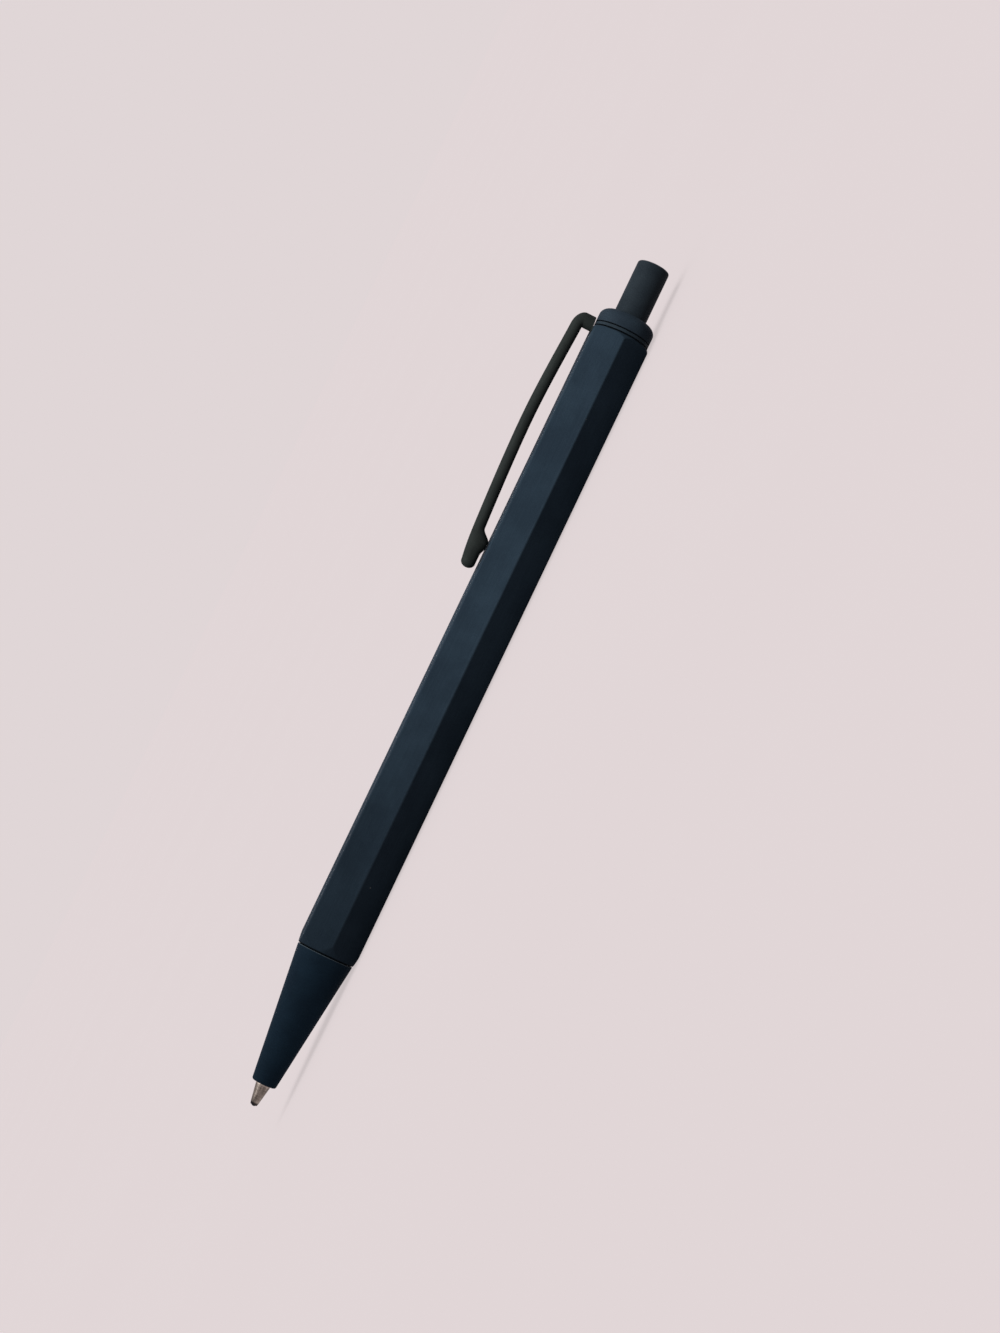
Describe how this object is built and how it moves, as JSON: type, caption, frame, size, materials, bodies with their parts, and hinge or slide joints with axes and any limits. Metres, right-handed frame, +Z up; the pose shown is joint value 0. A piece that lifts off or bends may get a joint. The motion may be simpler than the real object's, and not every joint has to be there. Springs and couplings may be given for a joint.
{
  "type": "ballpoint pen",
  "caption": "Retractable ballpoint pen with a hexagonal barrel, conical nose, domed end cap, push button and bent wire clip, shown with its tip out.",
  "frame": {"origin": "Centre of the pen's length and width, on the plane of the barrel flat that it lies on, opposite the clip.", "axes": "X runs along the pen, with the writing tip toward -X and the button toward +X. Y is across the barrel, edge to edge. Z is up, through the flat that carries the clip."},
  "size_m": [0.14, 0.0102, 0.013],
  "materials": {
    "coated_barrel": "matte blue-black coat on aluminium",
    "coated_cap": "matte blue-black coat on aluminium",
    "washer_metal": "dark satin steel",
    "coated_wire": "matte near-black coat on steel wire",
    "brass": "plain turned brass",
    "plunger_plastic": "moulded plastic",
    "cam_plastic": "moulded acetal plastic",
    "refill_plastic": "translucent natural plastic",
    "ink": "paste ink",
    "nickel_silver": "turned nickel silver",
    "carbide": "polished tungsten carbide",
    "spring_steel": "bright spring wire"
  },
  "bodies": {
    "barrel": {"barrel": "coated_barrel", "end_cap": "coated_cap", "clip_washer": "washer_metal", "mechanism_tube": "brass", "cam_sleeve": "cam_plastic", "thread_insert": "brass", "return_spring": "spring_steel"},
    "nose": {"nose_cone": "coated_barrel"},
    "clip": {"clip_arm": "coated_wire"},
    "button": {"push_button": "coated_cap", "thrust_plunger": "plunger_plastic"},
    "refill": {"refill_tube": "refill_plastic", "refill_plug": "cam_plastic", "ink_column": "ink", "refill_tip": "nickel_silver"},
    "rotor": {"cam_rotor": "cam_plastic"},
    "ball": {"writing_ball": "carbide"}
  },
  "joints": [
    {"name": "button_press", "type": "slide", "parent": "barrel", "child": "button", "axis": [-1, 0, 0], "range_m": [-0.005, 0.001]},
    {"name": "refill_travel", "type": "slide", "parent": "barrel", "child": "refill", "axis": [-1, 0, 0], "range_m": [-0.005, 0.001], "deforming": ["return_spring"]},
    {"name": "rotor_turn", "type": "hinge", "parent": "refill", "child": "rotor", "pos_m": [0.037, 0, 0.0045], "axis": [1, 0, 0], "continuous": true},
    {"name": "ball_roll", "type": "hinge", "parent": "refill", "child": "ball", "pos_m": [-0.06954, 0, 0.0045], "axis": [0, 1, 0], "continuous": true},
    {"name": "clip_flex", "type": "hinge", "parent": "barrel", "child": "clip", "pos_m": [0.05699, 0, 0.0087], "axis": [0, 1, 0], "range_deg": [0, 5], "stiffness_Nm_per_rad": 1},
    {"name": "nose_unscrew", "type": "slide", "parent": "barrel", "child": "nose", "axis": [-1, 0, 0], "range_m": [0, 0.032]}
  ],
  "couplings": [
    {"joint": "refill_travel", "follows": "button_press", "ratio": 1}
  ]
}
